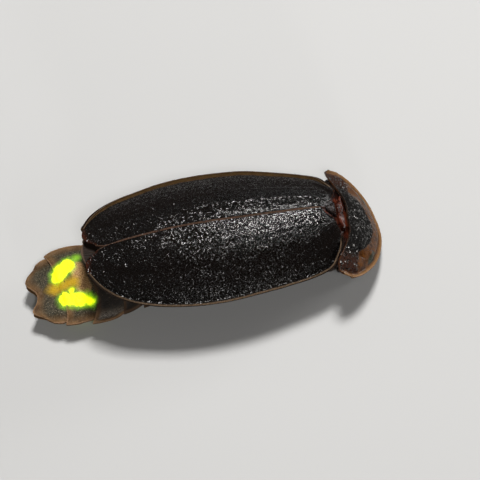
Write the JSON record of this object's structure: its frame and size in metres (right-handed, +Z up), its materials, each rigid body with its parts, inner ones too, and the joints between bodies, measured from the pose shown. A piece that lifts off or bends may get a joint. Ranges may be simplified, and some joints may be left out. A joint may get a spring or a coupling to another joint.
{
  "type": "firefly, still model",
  "caption": "Life-size still model of a male flat firefly: folded elytra, broad pronotum hiding the head, tucked legs and an outstretched abdomen with its light organs lit.",
  "frame": {"origin": "on the floor, at the middle of the bottom of the bounding box", "axes": "+X the way the firefly faces, +Y its left side, +Z up from the floor"},
  "size_m": [0.0232, 0.0094, 0.006],
  "materials": {
    "elytra": "satin, finely pitted, with short flat hair",
    "hood": "translucent tan rim round a black pitted middle",
    "cuticle": "satin",
    "thorax": "gloss",
    "tail": "satin, with paler margins",
    "wing": "satin",
    "eye": "gloss, with fine facets",
    "mouthparts": "gloss",
    "light_organ": "satin, glowing"
  },
  "bodies": {
    "root": {"pronotum": "hood", "prothorax": "cuticle", "head": "cuticle", "scutellum": "cuticle", "mesothorax": "thorax", "metathorax": "cuticle", "abdomen_1": "cuticle", "abdomen_2": "cuticle", "abdomen_3": "cuticle", "abdomen_4": "cuticle", "abdomen_5": "cuticle", "abdomen_6": "tail", "abdomen_7": "tail", "abdomen_8": "tail", "elytron_left": "elytra", "hindwing_left": "wing", "eye_left": "eye", "antenna_left": "cuticle", "mandible_left": "mouthparts", "palp_left": "mouthparts", "light_organ_left": "light_organ", "coxa_front_left": "cuticle", "femur_front_left": "cuticle", "tibia_front_left": "cuticle", "tarsus_front_left": "cuticle", "coxa_middle_left": "cuticle", "femur_middle_left": "cuticle", "tibia_middle_left": "cuticle", "tarsus_middle_left": "cuticle", "coxa_hind_left": "cuticle", "femur_hind_left": "cuticle", "tibia_hind_left": "cuticle", "tarsus_hind_left": "cuticle", "elytron_right": "elytra", "hindwing_right": "wing", "eye_right": "eye", "antenna_right": "cuticle", "mandible_right": "mouthparts", "palp_right": "mouthparts", "light_organ_right": "light_organ", "coxa_front_right": "cuticle", "femur_front_right": "cuticle", "tibia_front_right": "cuticle", "tarsus_front_right": "cuticle", "coxa_middle_right": "cuticle", "femur_middle_right": "cuticle", "tibia_middle_right": "cuticle", "tarsus_middle_right": "cuticle", "coxa_hind_right": "cuticle", "femur_hind_right": "cuticle", "tibia_hind_right": "cuticle", "tarsus_hind_right": "cuticle"}
  },
  "joints": []
}
